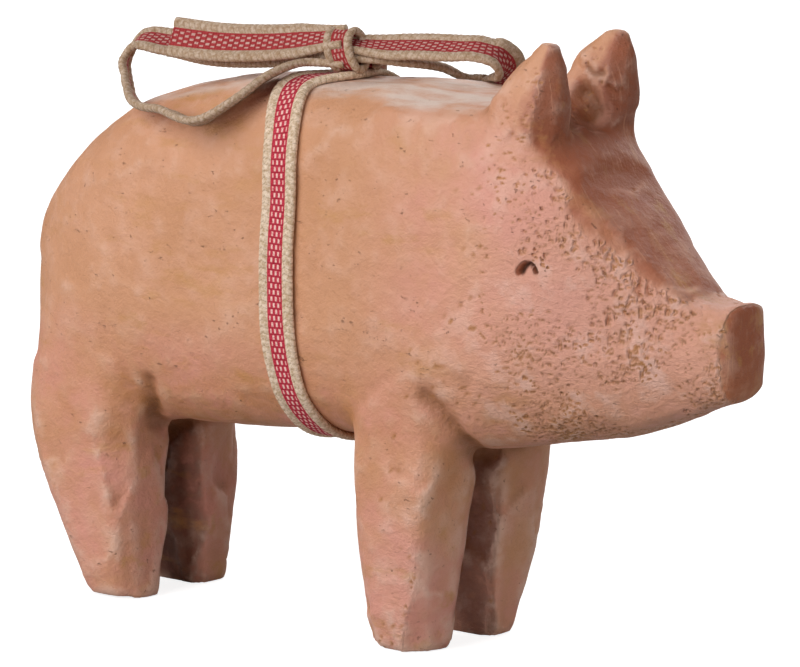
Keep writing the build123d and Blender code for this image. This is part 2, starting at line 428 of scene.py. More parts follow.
def cut_creases(places, normals):
    """Places with the grooves cut in, here and on the other side, and how far into a groove each lies."""
    creased = np.zeros(len(places))
    for pixels, depth, half_width in CREASES.values():
        line = flowing([on_skin(*pixel) for pixel in pixels], CREASE_STEP)
        room = 3 * half_width
        for path in (line, line * MIRROR):
            inside = np.all((places > path.min(axis=0) - room) & (places < path.max(axis=0) + room), axis=1)
            apart = np.linalg.norm(places[inside, None] - path[None], axis=2)
            groove = np.exp(-(apart.min(axis=1) / half_width) ** 2)
            places[inside] -= (depth * groove)[:, None] * normals[inside]
            creased[inside] = np.maximum(creased[inside], groove)
    return places, creased


# Eyes: a nick of two cuts on each side of the head, given ahead and up from the eye's middle
EYE_PIXEL = (531, 268)
EYE_CUT = [(-1.8, -0.9), (-1.1, 0.3), (-0.2, 0.9), (0.8, 0.4), (1.9, -0.8)]
EYE_STEP = 0.1
EYE_WIDE = 0.75
EYE_NARROW = 0.34
EYE_DEPTH = 1.5
EYE_REACH = 5.0
seen_eye = on_skin(*EYE_PIXEL)
eyes = [seen_eye, seen_eye * MIRROR]


def eye_cut(places):
    """How deeply the eyes' cuts go at each place, as a share of their full depth."""
    line = flowing([(ahead, up, 0.0) for ahead, up in EYE_CUT], EYE_STEP)
    half_width = np.linspace(EYE_WIDE, EYE_NARROW, len(line))
    depth = np.zeros(len(places))
    for eye in eyes:
        inside = np.linalg.norm(places - eye, axis=1) < EYE_REACH
        flat = (places[inside] - eye)[:, [0, 2]]
        apart = np.linalg.norm(flat[:, None] - line[None, :, :2], axis=2) / half_width
        depth[inside] = np.exp(-apart.min(axis=1) ** 2)
    return depth


# Rough wood: where it starts and is full along the figure, leaning back with depth, and where it ends
ROUGH_AHEAD = (26, 74)
ROUGH_LEAN = 0.35
ROUGH_LEAN_FROM = 100
ROUGH_BELOW = (148, 132)
ROUGH_SLOPE = (0.62, 0.38)


def roughness_of(places, normals):
    """How rough the wood was left: cheeks, jaw and neck, but not the forehead and the snout's end."""
    x, _, z = places.T
    ahead = rising(x + ROUGH_LEAN * (ROUGH_LEAN_FROM - z), *ROUGH_AHEAD)
    return ahead * rising(z, *ROUGH_BELOW) * rising(normals[:, 0], *ROUGH_SLOPE)


# Dents: clusters of small, long pits on the rough wood, given by half length, half width and depth
DENT_COUNT = 3900
DENT_LENGTH = (0.38, 0.85)
DENT_WIDTH = (0.26, 0.46)
DENT_DEPTH = (0.15, 0.40)
DENT_RUN = np.array([1.0, 0.0, -0.45])
DENT_WANDER = 0.5
DENT_CLUSTER = 12.0
DENT_CROWD = (-0.35, 0.35)
DENT_RAG_LENGTH = 0.7
DENT_RAG = 0.5
DENT_SEARCH = 1.3


def stippled(places, normals):
    """How deep the dents go at each place."""
    search = KDTree(len(places))
    for index, place in enumerate(places.tolist()):
        search.insert(place, index)
    search.balance()
    ragged = 1 + DENT_RAG * noise_at(places, DENT_RAG_LENGTH)
    likely = roughness_of(places, normals) * rising(noise_at(places, DENT_CLUSTER), *DENT_CROWD)
    depth = np.zeros(len(places))
    for middle in chance.choice(len(places), DENT_COUNT, p=likely / likely.sum()):
        length = chance.uniform(*DENT_LENGTH)
        width = chance.uniform(*DENT_WIDTH)
        along = DENT_RUN + chance.normal(0, DENT_WANDER, 3)
        along = unit(along - normals[middle] * (along @ normals[middle]))
        across = np.cross(normals[middle], along)
        found = np.array([index for _, index, _ in search.find_range(places[middle], DENT_SEARCH * length)])
        apart = places[found] - places[middle]
        reach = ((apart @ along / length) ** 2 + (apart @ across / width) ** 2) * ragged[found]
        dent = chance.uniform(*DENT_DEPTH) * np.clip(1 - reach, 0, 1)
        depth[found] = np.maximum(depth[found], dent)
    return depth


# Carving: the broad cuts first, then a finer mesh on the head and at the eyes for the small ones
FINE_FROM = 45.0
FINE_CRISP = 0.8
FOREHEAD_EASING = 2
FACET_EASING = 3
FINE_EASING = 2
CREASE_EASING = 1

carved = vertex_places(shell)
carved = eased(cut_forehead(carved), edges, FOREHEAD_EASING, 1 - crisp(carved))
move_vertices(shell, carved)
carved = eased(cut_facets(carved, vertex_normals(shell)), edges, FACET_EASING, 1 - crisp(carved))
move_vertices(shell, carved)

made_finer(shell, lambda co: co.x > FINE_FROM * MM)
for eye in eyes:
    made_finer(shell, lambda co, eye=Vector(eye * MM): (co - eye).length < EYE_REACH * MM)
edges = mesh_edges(shell)
carved = vertex_places(shell)
carved = eased(carved, edges, FINE_EASING, 1 - FINE_CRISP * crisp(carved))
move_vertices(shell, carved)

carved, creased = cut_creases(carved, vertex_normals(shell))
carved = eased(carved, edges, CREASE_EASING, 1 - crisp(carved))
carved = hand_worked(carved, vertex_normals(shell))
dents = stippled(carved, vertex_normals(shell))
carved = carved - dents[:, None] * vertex_normals(shell)
move_vertices(shell, carved)
nick = eye_cut(carved)
carved = carved - (EYE_DEPTH * nick)[:, None] * vertex_normals(shell)
carved[:, 2] = np.maximum(carved[:, 2], 0.0)
move_vertices(shell, carved)


# Paint masks: how far below or above their surroundings hollows, ridges and pits show fully
FINE_SURROUNDINGS = 12
BROAD_SURROUNDINGS = 80
FINE_HOLLOW = 0.3
BROAD_HOLLOW = 1.2
FULL_RIDGE = 0.25
FULL_PIT = 0.3

# Paint masks: where each starts and is full along the figure, up it and by the skin's slope
ROSY_AHEAD = (2, 40)
ROSY_BEHIND = (98, 70)
ROSY_ABOVE = (60, 80)
ROSY_BELOW = (140, 118)
ROSY_LEGS = (76, 56)
# Ruddy paint, darkened further as painted shade, on the forward-facing faces of the head and the ears
RUDDY_SHADE_AHEAD = (40, 50)
RUDDY_SHADE_SLOPE = (0.35, 0.75)
RUDDY_SHADE_EAR_SLOPE = (0.05, 0.35)
CHALKY_SLOPE = (0.80, 0.95)
CHALKY_BEHIND = (46, 36)
CHALKY_ABOVE = (112, 122)
# Painted shade: the ears' forward faces and the legs' inner sides below the trunk are painted darker where
# shade falls
EAR_FRONT_SLOPE = (0.15, 0.5)
EAR_FRONT_SHARE = 0.5
INNER_LEG_SLOPE = (0.2, 0.7)
BELLY_TOP = 72
JAW_RISE = 12
JAW_AHEAD = (40, 60)
LOW_FULL = 50
UNDERSIDE_SLOPE = (0.3, -0.3)


def sunk_by(places, normals, rounds):
    """How far each vertex lies below its surroundings; the rounds set how wide these are."""
    return np.einsum("vk,vk->v", eased(places, edges, rounds) - places, normals)


def paint_masks(places, normals):
    """Shares of each kind of paint, staining, worn paint and painted shade at the vertices."""
    x, y, z = places.T
    ahead, sideways, upward = normals.T
    fine = sunk_by(places, normals, FINE_SURROUNDINGS)
    broad = sunk_by(places, normals, BROAD_SURROUNDINGS)
    hollow = np.maximum(fine / FINE_HOLLOW, broad / BROAD_HOLLOW) * rising(x, SNOUT_END - 4, SNOUT_END - 9)
    rosy_head = rising(x, *ROSY_AHEAD) * rising(x, *ROSY_BEHIND)
    rosy_head *= rising(z, *ROSY_ABOVE) * rising(z, *ROSY_BELOW)
    at_ears = rising(z, EAR_FOOT, EAR_FOOT + 6)
    ruddy_shade_slope = [head + at_ears * (ear - head) for head, ear in zip(RUDDY_SHADE_SLOPE, RUDDY_SHADE_EAR_SLOPE)]
    ruddy_and_shade = rising(ahead, *ruddy_shade_slope) * rising(x, *RUDDY_SHADE_AHEAD)
    chalky = rising(upward, *CHALKY_SLOPE) * rising(x, *CHALKY_BEHIND) * rising(z, *CHALKY_ABOVE)
    # Painted shade on the ears' forward faces and between the legs
    shaded_ear_fronts = on_ears(places) * rising(ahead, *EAR_FRONT_SLOPE)
    shaded_between_legs = rising(-sideways * np.sign(y), *INNER_LEG_SLOPE) * rising(z, LEG_TOP + 16, LEG_TOP)
    # Downward-facing faces low on the trunk and under the jaw, which get darker ochre
    low = rising(z, BELLY_TOP + JAW_RISE * rising(x, *JAW_AHEAD), LOW_FULL)
    low *= rising(z, LEG_TOP - 8, LEG_TOP + 6) * rising(upward, *UNDERSIDE_SLOPE)
    return {
        "hollow": hollow,
        "ridge": -fine / FULL_RIDGE,
        "nick": nick,
        "creased": creased,
        "pit": dents / FULL_PIT,
        "rough": roughness_of(places, normals),
        "rosy": np.maximum(rosy_head, rising(z, *ROSY_LEGS)),
        "ruddy_and_shade": ruddy_and_shade,
        "chalky": chalky,
        "painted_shade": np.maximum(EAR_FRONT_SHARE * shaded_ear_fronts, shaded_between_legs),
        "low": low,
    }


for name, values in paint_masks(carved, vertex_normals(shell)).items():
    layer = shell.attributes.new(name, "FLOAT", "POINT")
    layer.data.foreach_set("value", np.clip(values, 0, 1).astype(np.float32))


# The shell cut apart at the joints, each piece closed
JOINT_ROOM = 3 * MM
EAR_SEAT_LIFT = 5.5 * MM
EAR_SEAT_SLOPE = (0.39, 0.63)
EAR_ROOM_BELOW = 5 * MM
EAR_ROOM_ALONG = 20 * MM


def cut_apart(whole, point, normal, wanted):
    """Takes what lies beyond a plane, where wanted, off the whole; returns it, with both closed."""
    near = [face for face in whole.faces if wanted(face.calc_center_median())]
    geometry = set(near)
    for face in near:
        geometry.update(face.edges)
        geometry.update(face.verts)
    bmesh.ops.bisect_plane(whole, geom=list(geometry), plane_co=point, plane_no=normal, dist=1e-7)
    whole.faces.ensure_lookup_table()
    whole.faces.index_update()
    beyond = set()
    for face in whole.faces:
        centre = face.calc_center_median()
        if wanted(centre) and (centre - point).dot(normal) > 0:
            beyond.add(face.index)
    part = whole.copy()
    part.faces.ensure_lookup_table()
    for solid, kept in [(part, True), (whole, False)]:
        surplus = [face for face in solid.faces if (face.index in beyond) != kept]
        bmesh.ops.delete(solid, geom=surplus, context="FACES")
        rim = [edge for edge in solid.edges if edge.is_boundary]
        caps = bmesh.ops.holes_fill(solid, edges=rim, sides=0)["faces"]
        for edge in rim:
            edge.smooth = False
        bmesh.ops.triangulate(solid, faces=caps)
    return part


whole = bmesh.new()
whole.from_mesh(shell)
leg_joint = Vector((0, 0, LEG_TOP * MM))
leg_split = (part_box("front_right_leg")[0].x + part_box("hind_right_leg")[1].x) / 2
parts = {}
for front_or_hind, ahead in [("front", 1), ("hind", -1)]:
    for side, sign in [("right", -1), ("left", 1)]:
        parts[f"{front_or_hind}_{side}_leg"] = cut_apart(
            whole, leg_joint, Vector((0, 0, -1)),
            lambda c: (c.x - leg_split) * ahead > 0 and c.y * sign > 0 and c.z < leg_joint.z + JOINT_ROOM,
        )
for side, sign in [("right", -1), ("left", 1)]:
    ear_low, ear_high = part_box(f"{side}_ear")
    ear_middle = (ear_low + ear_high) / 2
    seat = Vector((ear_middle.x, ear_middle.y, ear_low.z + EAR_SEAT_LIFT))
    seat_normal = Vector((EAR_SEAT_SLOPE[0], EAR_SEAT_SLOPE[1] * sign, 1.0)).normalized()
    parts[f"{side}_ear"] = cut_apart(
        whole, seat, seat_normal,
        lambda c: (
            c.y * sign > 0
            and c.z > ear_low.z - EAR_ROOM_BELOW
            and abs(c.x - ear_middle.x) < EAR_ROOM_ALONG
        ),
    )
parts["body_block"] = whole


# Materials
class Shading:
    """Short way to write a material's nodes."""

    def __init__(self, name):
        self.material = bpy.data.materials.new(name)
        self.material.use_nodes = True
        self.tree = self.material.node_tree
        self.surface = self.tree.nodes["Principled BSDF"]

    def node(self, kind, inputs=None, **settings):
        made = self.tree.nodes.new(kind)
        for key, value in settings.items():
            setattr(made, key, value)
        for key, value in (inputs or {}).items():
            self.put(made.inputs[key], value)
        return made

    def put(self, socket, value):
        if isinstance(value, bpy.types.NodeSocket):
            self.tree.links.new(value, socket)
        else:
            socket.default_value = value

    def place(self):
        """Place on the object, in metres."""
        return self.node("ShaderNodeTexCoord").outputs["Object"]

    def stretched(self, where, factors):
        made = self.node("ShaderNodeVectorMath", {0: where, 1: factors}, operation="MULTIPLY")
        return made.outputs[0]

    def noise(self, where, scale, detail=2.0, roughness=0.5):
        made = self.node("ShaderNodeTexNoise", {
            "Vector": where, "Scale": scale, "Detail": detail, "Roughness": roughness,
        })
        return made.outputs[0]

    def attribute(self, name):
        return self.node("ShaderNodeAttribute", attribute_name=name).outputs["Fac"]

    def math(self, operation, *values):
        made = self.node("ShaderNodeMath", operation=operation)
        for socket, value in zip(made.inputs, values):
            self.put(socket, value)
        return made.outputs[0]

    def times(self, first, second):
        return self.math("MULTIPLY", first, second)

    def plus(self, first, second):
        return self.math("ADD", first, second)

    def between(self, value, low, high):
        """0 at low and 1 at high, held at both ends; high may be the lower one."""
        made = self.node("ShaderNodeMapRange", {0: value, 1: low, 2: high}, clamp=True)
        return made.outputs[0]

    def mix(self, share, first, second):
        made = self.node("ShaderNodeMix", data_type="RGBA")
        self.put(made.inputs[0], share)
        self.put(made.inputs[6], first)
        self.put(made.inputs[7], second)
        return made.outputs[2]

    def coat(self, under, over, cover, strength):
        """One colour over another where it covers, as strongly as given."""
        return self.mix(self.times(cover, strength), under, over)

    def finish(self, colour, roughness, relief, strength, distance):
        """Puts the colour, the roughness and a bump of the relief on the surface."""
        self.put(self.surface.inputs["Base Color"], colour)
        self.put(self.surface.inputs["Roughness"], roughness)
        bump = self.node("ShaderNodeBump", {"Height": relief, "Strength": strength, "Distance": distance})
        self.put(self.surface.inputs["Normal"], bump.outputs[0])
        return self.material


def srgb(red, green, blue):
    """Linear colour of an sRGB one, given in 0 to 255."""
    def linear(value):
        share = value / 255
        return share / 12.92 if share <= 0.04045 else ((share + 0.055) / 1.055) ** 2.4
    return (linear(red), linear(green), linear(blue), 1.0)


# Paint of the wood, its staining and worn paint, and painted shade and painted highlights
SALMON = srgb(202, 144, 105)
LIGHT_SALMON = srgb(210, 152, 116)
PALE_SALMON = srgb(224, 172, 148)
ROSE = srgb(218, 148, 134)
RUDDY_AND_SHADE = srgb(164, 88, 56)
SCRATCHED = srgb(212, 150, 118)
ROUGH_PINK = srgb(238, 174, 153)
RUBBED_HIGHLIGHT_PINK = srgb(240, 194, 178)
WORN_RIDGE = srgb(228, 190, 170)
CHALK = srgb(226, 202, 188)
OCHRE_SMEAR = srgb(196, 140, 82)
OCHRE_BELOW = srgb(188, 124, 66)
PIT_OCHRE = srgb(188, 128, 72)
PIT_SHADE_BROWN = srgb(116, 70, 42)
HOLLOW_STAIN_AND_SHADE = srgb(160, 104, 66)
CREASE_SHADE_BROWN = srgb(128, 80, 44)
SPECK_BROWN = srgb(140, 88, 54)
PORE_BROWN = srgb(128, 80, 50)
SHADE_BROWN = srgb(120, 66, 42)
EYE_SHADE_BROWN = srgb(78, 44, 28)
PaintNoise = namedtuple("PaintNoise", "where mottle streaks grit specks pores")


def paint_noise(look):
    """Patterns that several layers of the paint share."""
    where = look.place()
    mottle = look.noise(where, 130, detail=5, roughness=0.6)
    streaks = look.noise(look.stretched(where, (0.35, 1.0, 1.0)), 170, detail=5, roughness=0.6)
    grit = look.noise(look.stretched(where, (0.7, 1.0, 1.15)), 560, detail=6, roughness=0.7)
    speckled = look.between(look.noise(where, 42, detail=3), 0.52, 0.66)
    specks = look.times(look.between(grit, 0.36, 0.29), speckled)
    grain = look.noise(look.stretched(where, (0.5, 1.0, 1.0)), 900, detail=3, roughness=0.6)
    pores = look.times(look.between(grain, 0.33, 0.28), look.between(mottle, 0.44, 0.56))
    return PaintNoise(where, mottle, streaks, grit, specks, pores)


def ground_coats_and_shade(look, marks):
    """Salmon all over, rosy parts, red-brown paint deepened as painted shade on the forward faces, painted
    shade on the ears' fronts and between the legs, a pale rough head and a scratched forehead.
    """
    cloud = look.noise(marks.where, 24, detail=4, roughness=0.55)
    colour = look.mix(look.between(cloud, 0.38, 0.62), SALMON, LIGHT_SALMON)
    patches = look.between(look.noise(marks.where, 40, detail=5, roughness=0.6), 0.36, 0.60)
    colour = look.coat(colour, ROSE, look.times(look.attribute("rosy"), patches), 0.78)
    # Ruddy paint, darkened further as painted shade, on the forward-facing faces
    ruddy_and_shade = look.attribute("ruddy_and_shade")
    colour = look.coat(colour, RUDDY_AND_SHADE, ruddy_and_shade, 0.95)
    colour = look.coat(colour, PALE_SALMON, look.between(marks.mottle, 0.50, 0.72), 0.35)
    # Painted shade: dark brown on the ears' forward faces and between the legs
    leg_and_ear_shade = look.times(look.attribute("painted_shade"), look.between(marks.mottle, 0.25, 0.50))
    colour = look.coat(colour, SHADE_BROWN, leg_and_ear_shade, 0.9)
    colour = look.coat(colour, ROUGH_PINK, look.attribute("rough"), 0.7)
    brushed = look.noise(look.stretched(marks.where, (0.05, 1.0, 0.05)), 1500, detail=3, roughness=0.6)
    scratch = look.times(ruddy_and_shade, look.between(marks.mottle, 0.40, 0.60))
    scratch = look.times(look.between(brushed, 0.58, 0.66), scratch)
    return look.coat(colour, SCRATCHED, scratch, 0.6)


def stains_and_shade(look, marks, colour):
    """Ochre smears, darker ochre on the downward-facing undersides, brown in the hollows as staining and
    painted shade together, brown painted shade along the creases, ochre staining and brown painted shade in
    the pits.
    """
    patches = look.between(look.noise(marks.where, 33, detail=3), 0.44, 0.60)
    colour = look.coat(colour, OCHRE_SMEAR, look.times(look.between(marks.streaks, 0.54, 0.66), patches), 0.7)
    # Darker ochre on the downward-facing faces low on the trunk and under the jaw
    low = look.times(look.attribute("low"), look.between(marks.mottle, 0.30, 0.62))
    colour = look.coat(colour, OCHRE_BELOW, low, 0.85)
    # Brown in the hollows: a stain pooled there together with painted shade
    colour = look.coat(colour, HOLLOW_STAIN_AND_SHADE, look.attribute("hollow"), 0.55)
    # Painted shade: brown along the creases
    creased = look.times(look.attribute("creased"), look.between(marks.mottle, 0.25, 0.60))
    colour = look.coat(colour, CREASE_SHADE_BROWN, creased, 0.8)
    pit = look.attribute("pit")
    colour = look.coat(colour, PIT_OCHRE, look.between(pit, 0.1, 0.7), look.between(marks.mottle, 0.30, 0.75))
    # Painted shade: brown at the deepest part of each pit
    colour = look.coat(colour, PIT_SHADE_BROWN, look.between(pit, 0.6, 1.1), 0.4)
    return look.coat(colour, SPECK_BROWN, marks.specks, 0.55)


def wear_and_painted_light(look, marks, colour):
    """Pale worn spots with a painted highlight between the pits, worn ridges, a chalky back, open pores and
    painted shade in the eyes' cuts.
    """
    proud = look.between(look.attribute("pit"), 0.3, 0.0)
    # Pale worn paint together with a painted highlight on the rough head, between the pits
    rubbed_highlight = look.times(look.times(look.attribute("rough"), look.between(marks.mottle, 0.50, 0.64)), proud)
    colour = look.coat(colour, RUBBED_HIGHLIGHT_PINK, rubbed_highlight, 0.6)
    worn = look.times(look.attribute("ridge"), look.between(marks.mottle, 0.42, 0.60))
    colour = look.coat(colour, WORN_RIDGE, worn, 0.6)
    chalk = look.times(look.attribute("chalky"), look.between(marks.streaks, 0.36, 0.58))
    colour = look.coat(colour, CHALK, chalk, 0.9)
    colour = look.coat(colour, PORE_BROWN, marks.pores, 0.5)
    # Painted shade: dark brown in the eyes' cuts, following their depth
    return look.coat(colour, EYE_SHADE_BROWN, look.attribute("nick"), 0.85)


def painted_wood():
    """Satin paint, worn thin and discoloured by staining, with painted shade and painted highlights, over
    wood that is gritty where it was left rough.
    """
    look = Shading("painted_wood")
    marks = paint_noise(look)
    colour = wear_and_painted_light(look, marks, stains_and_shade(look, marks, ground_coats_and_shade(look, marks)))
    roughness = look.plus(0.40, look.times(marks.mottle, 0.24))
    look.surface.inputs["Specular IOR Level"].default_value = 0.45
    relief = look.times(look.noise(marks.where, 900, detail=5, roughness=0.65), 0.5)
    relief = look.plus(relief, look.times(look.noise(marks.where, 260, detail=4, roughness=0.6), 1.1))
    relief = look.plus(relief, look.times(look.times(look.attribute("rough"), marks.grit), 2.2))
    relief = look.math("SUBTRACT", relief, look.times(look.plus(marks.specks, marks.pores), 0.5))
    return look.finish(colour, roughness, relief, strength=0.9, distance=0.0006)


def bare_wood():
    """Plain dowel wood, its grain along the dowel."""
    look = Shading("dowel_wood")
    grain = look.noise(look.stretched(look.place(), (1.0, 1.0, 0.06)), 900, detail=4, roughness=0.6)
    colour = look.mix(look.between(grain, 0.35, 0.65), srgb(206, 170, 122), srgb(176, 134, 88))
    roughness = look.plus(0.6, look.times(grain, 0.2))
    return look.finish(colour, roughness, grain, strength=0.3, distance=0.0003)


paint = painted_wood()
for node, solid in parts.items():
    mesh = bpy.data.meshes.new(f"carved_{node}")
    solid.to_mesh(mesh)
    solid.free()
    mesh.polygons.foreach_set("use_smooth", [True] * len(mesh.polygons))
    mesh.materials.append(paint)
    piece = bpy.data.objects.new(f"carved_{node}", mesh)
    bpy.context.collection.objects.link(piece)
    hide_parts(node)
    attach(piece, "root")

dowel_finish = bare_wood()
for node in ["leg_dowels", "ear_dowels"]:
    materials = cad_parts[node].data.materials
    for index in range(len(materials)):
        materials[index] = dowel_finish


# Ribbon: thick stitched edges along a flat woven middle, one strip for each of its nodes
RIBBON_WIDTH = round((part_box("ribbon_band")[1].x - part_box("ribbon_band")[0].x) / MM, 2)
HALF_RIBBON = RIBBON_WIDTH / 2
EDGE_WIDTH = 2.8
EDGE_THICKNESS = 2.0
MIDDLE_THICKNESS = 0.9
HALF_MIDDLE = HALF_RIBBON - EDGE_WIDTH
ROW_STEP = 0.3
EDGE_STEPS = 8
MIDDLE_STEPS = 8

# Stitches of the edges: their length, relief and slant, the groove along their middle and the sides' offset
STITCH_PITCH = 1.5
STITCH_RELIEF = 0.13
STITCH_MEAN = 0.6
STITCH_SLANT = 0.45
STITCH_GROOVE = 0.35
STITCH_GROOVE_WIDTH = 0.22
STITCH_OFFSET = 0.3

# Weave of the middle: rows and columns of pale dashes, counted from beyond the ribbon's side
WEAVE_ROW = 1.5
WEAVE_COLUMN = 1.36
WEAVE_START = 20.0
DASH_END = (1.85, 1.6)
RED = srgb(170, 34, 52)
LIGHT_RED = srgb(206, 66, 84)
RIB_RED = srgb(128, 22, 38)
DASH_PINK = srgb(240, 200, 190)
LINEN = srgb(192, 163, 131)
LIGHT_LINEN = srgb(238, 216, 194)
LINEN_GAP_SHADE = srgb(150, 120, 88)
BOW_SHADE_BROWN = srgb(101, 57, 24)


def woven_ribbon():
    """Red weave with staggered dashes between linen edges, painted shade in the gaps between the stitches and
    over the bow's strips.
    """
    look = Shading("ribbon")
    where = look.place()
    across = look.attribute("across")
    from_middle = look.math("ABSOLUTE", across)
    threads = look.noise(where, 2600, detail=3)
    fibres = look.noise(where, 1100, detail=4, roughness=0.7)

    row = look.math("DIVIDE", look.attribute("along"), WEAVE_ROW)
    stagger = look.times(look.math("MODULO", look.math("FLOOR", row), 2.0), 0.5)
    columns = look.math("DIVIDE", look.plus(across, WEAVE_START), WEAVE_COLUMN)
    column = look.math("FRACT", look.plus(columns, stagger))
    off_column = look.math("ABSOLUTE", look.math("SUBTRACT", column, 0.5))
    off_row = look.math("ABSOLUTE", look.math("SUBTRACT", look.math("FRACT", row), 0.5))
    dash = look.times(look.between(off_column, 0.27, 0.15), look.between(off_row, 0.40, 0.26))
    dash = look.times(dash, look.between(from_middle, *DASH_END))

    red = look.mix(look.between(threads, 0.35, 0.65), RED, LIGHT_RED)
    red = look.coat(red, RIB_RED, look.between(off_row, 0.38, 0.50), 0.7)
    red = look.coat(red, DASH_PINK, dash, look.between(threads, 0.20, 0.50))
    linen = look.mix(look.between(fibres, 0.38, 0.62), LINEN, LIGHT_LINEN)
    # Painted shade: darker linen in the gaps between the stitches
    linen = look.coat(linen, LINEN_GAP_SHADE, look.between(look.attribute("stitch"), 0.45, 0.0), 0.8)
    colour = look.mix(look.between(from_middle, HALF_MIDDLE, HALF_MIDDLE + 0.15), red, linen)
    # Painted shade: the bow's strips darker brown, the band without it
    colour = look.coat(colour, BOW_SHADE_BROWN, look.attribute("bow_shade"), 0.38)
    look.surface.inputs["Specular IOR Level"].default_value = 0.2
    roughness = look.plus(0.8, look.times(threads, 0.15))
    relief = look.plus(look.times(dash, 0.5), look.plus(threads, fibres))
    return look.finish(colour, roughness, relief, strength=0.4, distance=0.0003)


def ribbon_profile():
    """Points round the ribbon's section: across, height and place from -1 to 1 over a thick edge, else 0."""
    middle_of_edge = HALF_RIBBON - EDGE_WIDTH / 2
    right_edge = [
        (middle_of_edge + EDGE_WIDTH / 2 * cos(a), EDGE_THICKNESS / 2 * sin(a), cos(a))
        for a in np.linspace(pi, 0, EDGE_STEPS + 1)
    ]
    steps = np.linspace(-HALF_MIDDLE, HALF_MIDDLE, MIDDLE_STEPS + 1)[1:-1]
    middle = [(across, MIDDLE_THICKNESS / 2, 0.0) for across in steps]
    left_edge = [(-across, height, edge) for across, height, edge in reversed(right_edge)]
    upper = []
    for across, height, edge in left_edge + middle + right_edge:
        if abs(across) < middle_of_edge:
            height = max(height, MIDDLE_THICKNESS / 2)
        upper.append((across, height, edge))
    lower = [(across, -height, edge) for across, height, edge in reversed(upper[1:-1])]
    return np.array(upper + lower)


def strip_faces(rows, columns, closed):
    """Faces of a strip, joined end to end if closed and capped at both ends if not."""
    corner = np.arange(rows * columns).reshape(rows, columns)
    caps = [] if closed else [corner[0].tolist()[::-1], corner[-1].tolist()]
    if closed:
        corner = np.vstack([corner, corner[:1]])
    near, far = corner[:-1], corner[1:]
    quads = np.stack([near, np.roll(near, -1, 1), np.roll(far, -1, 1), far], axis=2)
    return quads.reshape(-1, 4).tolist() + caps


def woven_strip(name, line, wide, share, bow_shade=1.0, closed=False):
    """Ribbon along a line, its width turned as given and drawn together to a share of its full width, with
    painted shade as strong as given.
    """
    ahead = np.roll(line, -1, axis=0) - np.roll(line, 1, axis=0) if closed else np.gradient(line, axis=0)
    along = unit(ahead)
    wide = unit(wide - along * np.einsum("rk,rk->r", wide, along)[:, None])
    face = np.cross(wide, along)
    run = np.concatenate([[0], np.cumsum(np.linalg.norm(np.diff(line, axis=0), axis=1))])

    across, height, edge = ribbon_profile().T
    on_edge = (np.abs(across) > HALF_MIDDLE).astype(float)
    phase = run[:, None] / STITCH_PITCH + STITCH_SLANT * np.abs(edge) + STITCH_OFFSET * np.sign(across)
    stitch = np.abs(np.sin(pi * phase)) * (1 - STITCH_GROOVE * np.exp(-(edge / STITCH_GROOVE_WIDTH) ** 2))
    lift = height + np.sign(height) * STITCH_RELIEF * (stitch - STITCH_MEAN) * on_edge
    places = line[:, None] + wide[:, None] * (across * share[:, None])[..., None]
    places = places + face[:, None] * lift[..., None]

    rows, columns = places.shape[:2]
    mesh = bpy.data.meshes.new(name)
    mesh.from_pydata((places.reshape(-1, 3) * MM).tolist(), [], strip_faces(rows, columns, closed))
    for label, values in [
        ("across", across),
        ("along", run[:, None]),
        ("bow_shade", bow_shade),
        ("stitch", stitch * on_edge + (1 - on_edge)),
    ]:
        layer = mesh.attributes.new(label, "FLOAT", "POINT")
        spread = np.broadcast_to(values, (rows, columns))
        layer.data.foreach_set("value", spread.ravel().astype(np.float32))
    mesh.polygons.foreach_set("use_smooth", [True] * len(mesh.polygons))
    mesh.materials.append(ribbon_cloth)
    piece = bpy.data.objects.new(name, mesh)
    bpy.context.collection.objects.link(piece)
    return piece, run[-1]


ribbon_cloth = woven_ribbon()
carved_skin = skin_search(shell)

# Band: its middle line where the photograph shows it, the same on the far side, laid on the carved skin
BAND_PIXELS = [(297, 85), (286, 135), (282, 199), (279, 259), (279, 309), (284, 358), (296, 396), (313, 421)]
BAND_X = (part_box("ribbon_band")[0].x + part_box("ribbon_band")[1].x) / 2 / MM
BAND_AXIS = 87.0
BAND_ROWS = 780
BAND_START = pi / 2
BAND_GAP = 0.15
BAND_EASING = 120
BEYOND_SKIN = 100.0


def eased_round(values):
    """Values along the closed band, each drawn towards its neighbours, many times over."""
    for _ in range(BAND_EASING):
        values = (2 * values + np.roll(values, 1, 0) + np.roll(values, -1, 0)) / 4
    return values


def band_route():
    """Places of the band's middle line, and the way its face looks at each."""
    seen = np.array([on_skin(u, v) for u, v in BAND_PIXELS])
    seen_angle = np.arctan2(seen[:, 2] - BAND_AXIS, -seen[:, 1])
    order = np.argsort(seen_angle)
    angle_known = np.concatenate([[-pi / 2], seen_angle[order], [pi / 2]])
    x_known = np.concatenate([[seen[order[0], 0]], seen[order, 0], [BAND_X]])
    line = []
    face = []
    for turn in np.linspace(0, 2 * pi, BAND_ROWS, endpoint=False) + BAND_START:
        outward = np.array([0, -cos(turn), sin(turn)])
        folded = np.arctan2(outward[2], abs(outward[1]))
        centre = np.array([np.interp(folded, angle_known, x_known), 0, BAND_AXIS])
        start = Vector((centre + BEYOND_SKIN * outward) * MM)
        hit, normal, _, _ = carved_skin.ray_cast(start, Vector(-outward))
        line.append(np.array(hit) / MM + (EDGE_THICKNESS / 2 + BAND_GAP) * np.array(normal))
        face.append(np.array(normal))
    return eased_round(np.array(line)), eased_round(np.array(face))


band_line, band_face = band_route()
band_wide = np.cross(np.roll(band_line, -1, 0) - np.roll(band_line, 1, 0), band_face)
full = np.ones(BAND_ROWS)
strips = {
    "ribbon_band": woven_strip("woven_band", band_line, band_wide, full, bow_shade=0.0, closed=True),
}

